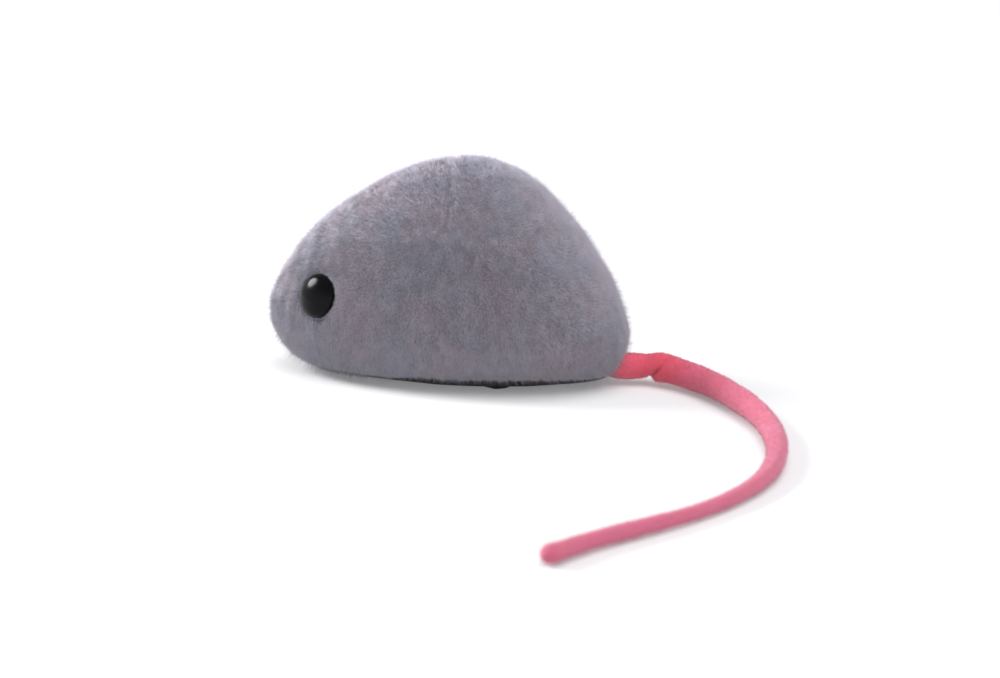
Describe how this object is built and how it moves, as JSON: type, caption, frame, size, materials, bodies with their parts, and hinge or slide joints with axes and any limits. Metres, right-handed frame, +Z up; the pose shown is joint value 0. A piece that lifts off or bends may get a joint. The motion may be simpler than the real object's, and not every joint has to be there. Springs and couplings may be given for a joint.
{
  "type": "clockwork mouse",
  "caption": "Plush-covered wind-up mouse with glossy bead eyes and a long kinked cord tail. A side key winds a spring motor that drives rubber-tyred wheels.",
  "frame": {"origin": "centre of the base plate's flat underside", "axes": "-X towards the nose and +X towards the tail, +Y towards the mouse's right flank, where the key is, +Z up"},
  "size_m": [0.1073, 0.1329, 0.0427],
  "materials": {
    "plush": "short velvety pile",
    "shell": "moulded",
    "black_plastic": "satin moulded",
    "eye": "polished",
    "tail_felt": "felted cord",
    "steel": "zinc plated",
    "spring_steel": "blued",
    "brass": "stamped",
    "rubber": "matte",
    "nylon": "natural"
  },
  "bodies": {
    "chassis": {"plush_cover": "plush", "body_shell": "shell", "base_plate": "black_plastic", "eye_left": "eye", "eye_right": "eye", "eye_washer_left": "nylon", "eye_washer_right": "nylon", "tail_root": "tail_felt", "tail_ferrule": "brass", "motor_plate_left": "steel", "motor_plate_right": "steel", "pillar_front_upper": "steel", "pillar_rear_upper": "steel", "pillar_front_lower": "steel", "pillar_rear_lower": "steel", "mainspring": "spring_steel", "roller_pin": "steel", "base_screw_front": "steel", "base_screw_left": "steel", "base_screw_right": "steel", "motor_screw_front": "steel", "motor_screw_rear": "steel"},
    "winding": {"winding_arbor": "steel", "arbor_clip": "spring_steel", "ratchet_wheel": "steel", "winding_key": "steel"},
    "great_wheel": {"great_wheel": "brass", "click_rivet": "steel"},
    "click": {"click": "spring_steel"},
    "second_arbor": {"second_arbor": "steel", "second_pinion": "brass", "second_wheel": "brass"},
    "drive_axle": {"drive_axle": "steel", "axle_pinion": "brass", "drive_wheel_left": "black_plastic", "drive_wheel_right": "black_plastic", "tyre_left": "rubber", "tyre_right": "rubber"},
    "nose_roller": {"nose_roller": "black_plastic"},
    "tail": {"tail_free": "tail_felt"}
  },
  "joints": [
    {"name": "key_wind", "type": "hinge", "parent": "chassis", "child": "winding", "pos_m": [-0.00143, 0, 0.0219], "axis": [0, 1, 0], "range_deg": [0, 1530], "deforming": ["mainspring"]},
    {"name": "great_wheel_turn", "type": "hinge", "parent": "chassis", "child": "great_wheel", "pos_m": [-0.00143, 0, 0.0219], "axis": [0, 1, 0], "continuous": true},
    {"name": "click_rock", "type": "hinge", "parent": "great_wheel", "child": "click", "pos_m": [-0.00674, 0, 0.0251], "axis": [0, -1, 0], "range_deg": [0, 8]},
    {"name": "second_arbor_turn", "type": "hinge", "parent": "chassis", "child": "second_arbor", "pos_m": [0.00392, 0, 0.012], "axis": [0, 1, 0], "continuous": true},
    {"name": "drive_axle_turn", "type": "hinge", "parent": "chassis", "child": "drive_axle", "pos_m": [0.012, 0, 0.0053], "axis": [0, 1, 0], "continuous": true},
    {"name": "nose_roller_turn", "type": "hinge", "parent": "chassis", "child": "nose_roller", "pos_m": [-0.019, 0, 0.0026], "axis": [0, 1, 0], "continuous": true},
    {"name": "tail_bend", "type": "hinge", "parent": "chassis", "child": "tail", "pos_m": [0.0414, 0.0026, 0.0024], "axis": [0, 0, 1], "range_deg": [-35, 35]}
  ],
  "couplings": [
    {"joint": "second_arbor_turn", "follows": "great_wheel_turn", "ratio": -4},
    {"joint": "drive_axle_turn", "follows": "great_wheel_turn", "ratio": 12.8}
  ]
}
